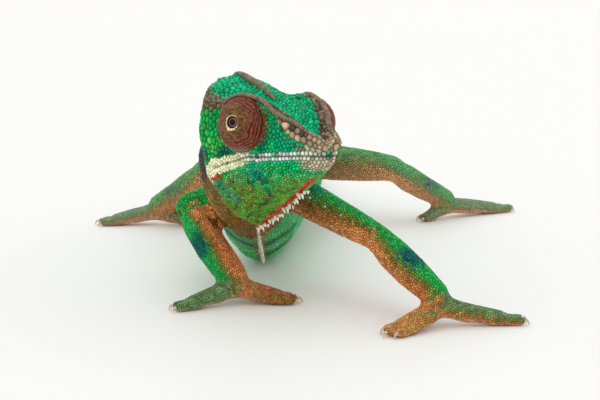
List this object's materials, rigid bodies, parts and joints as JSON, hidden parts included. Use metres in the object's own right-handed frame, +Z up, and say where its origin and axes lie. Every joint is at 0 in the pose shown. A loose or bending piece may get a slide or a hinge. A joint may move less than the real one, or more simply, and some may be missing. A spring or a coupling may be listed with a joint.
{
  "type": "panther chameleon model",
  "caption": "Life-size display model of a panther chameleon resting on spread feet and belly, head turned to its left, tail laid in a loose curve.",
  "frame": {"origin": "middle of the model's box, on the floor it rests on", "axes": "+Z up from the floor, -Y the way the body faces, +X the animal's left side"},
  "size_m": [0.136, 0.307, 0.0574],
  "materials": {
    "green_skin": "painted granular scales, satin",
    "olive_skin": "painted granular scales, satin",
    "rust_skin": "painted granular scales, satin",
    "turret_skin": "finely folded skin, satin",
    "eye": "wet gloss",
    "claw": "smooth horn"
  },
  "bodies": {
    "root": {"jaw": "olive_skin", "head": "green_skin", "eye_turret_left": "turret_skin", "eyeball_left": "eye", "eye_turret_right": "turret_skin", "eyeball_right": "eye", "neck": "olive_skin", "trunk": "green_skin", "tail_base": "green_skin", "tail_1": "green_skin", "tail_2": "green_skin", "tail_3": "green_skin", "fore_left_upper": "green_skin", "fore_left_lower": "rust_skin", "fore_left_foot": "rust_skin", "fore_left_claw_outer_1": "claw", "fore_left_claw_outer_2": "claw", "fore_left_claw_inner_1": "claw", "fore_left_claw_inner_2": "claw", "fore_left_claw_inner_3": "claw", "fore_right_upper": "green_skin", "fore_right_lower": "rust_skin", "fore_right_foot": "rust_skin", "fore_right_claw_outer_1": "claw", "fore_right_claw_outer_2": "claw", "fore_right_claw_inner_1": "claw", "fore_right_claw_inner_2": "claw", "fore_right_claw_inner_3": "claw", "hind_left_upper": "green_skin", "hind_left_lower": "rust_skin", "hind_left_foot": "rust_skin", "hind_left_claw_outer_1": "claw", "hind_left_claw_outer_2": "claw", "hind_left_claw_outer_3": "claw", "hind_left_claw_inner_1": "claw", "hind_left_claw_inner_2": "claw", "hind_right_upper": "green_skin", "hind_right_lower": "rust_skin", "hind_right_foot": "rust_skin", "hind_right_claw_outer_1": "claw", "hind_right_claw_outer_2": "claw", "hind_right_claw_outer_3": "claw", "hind_right_claw_inner_1": "claw", "hind_right_claw_inner_2": "claw"}
  },
  "joints": []
}
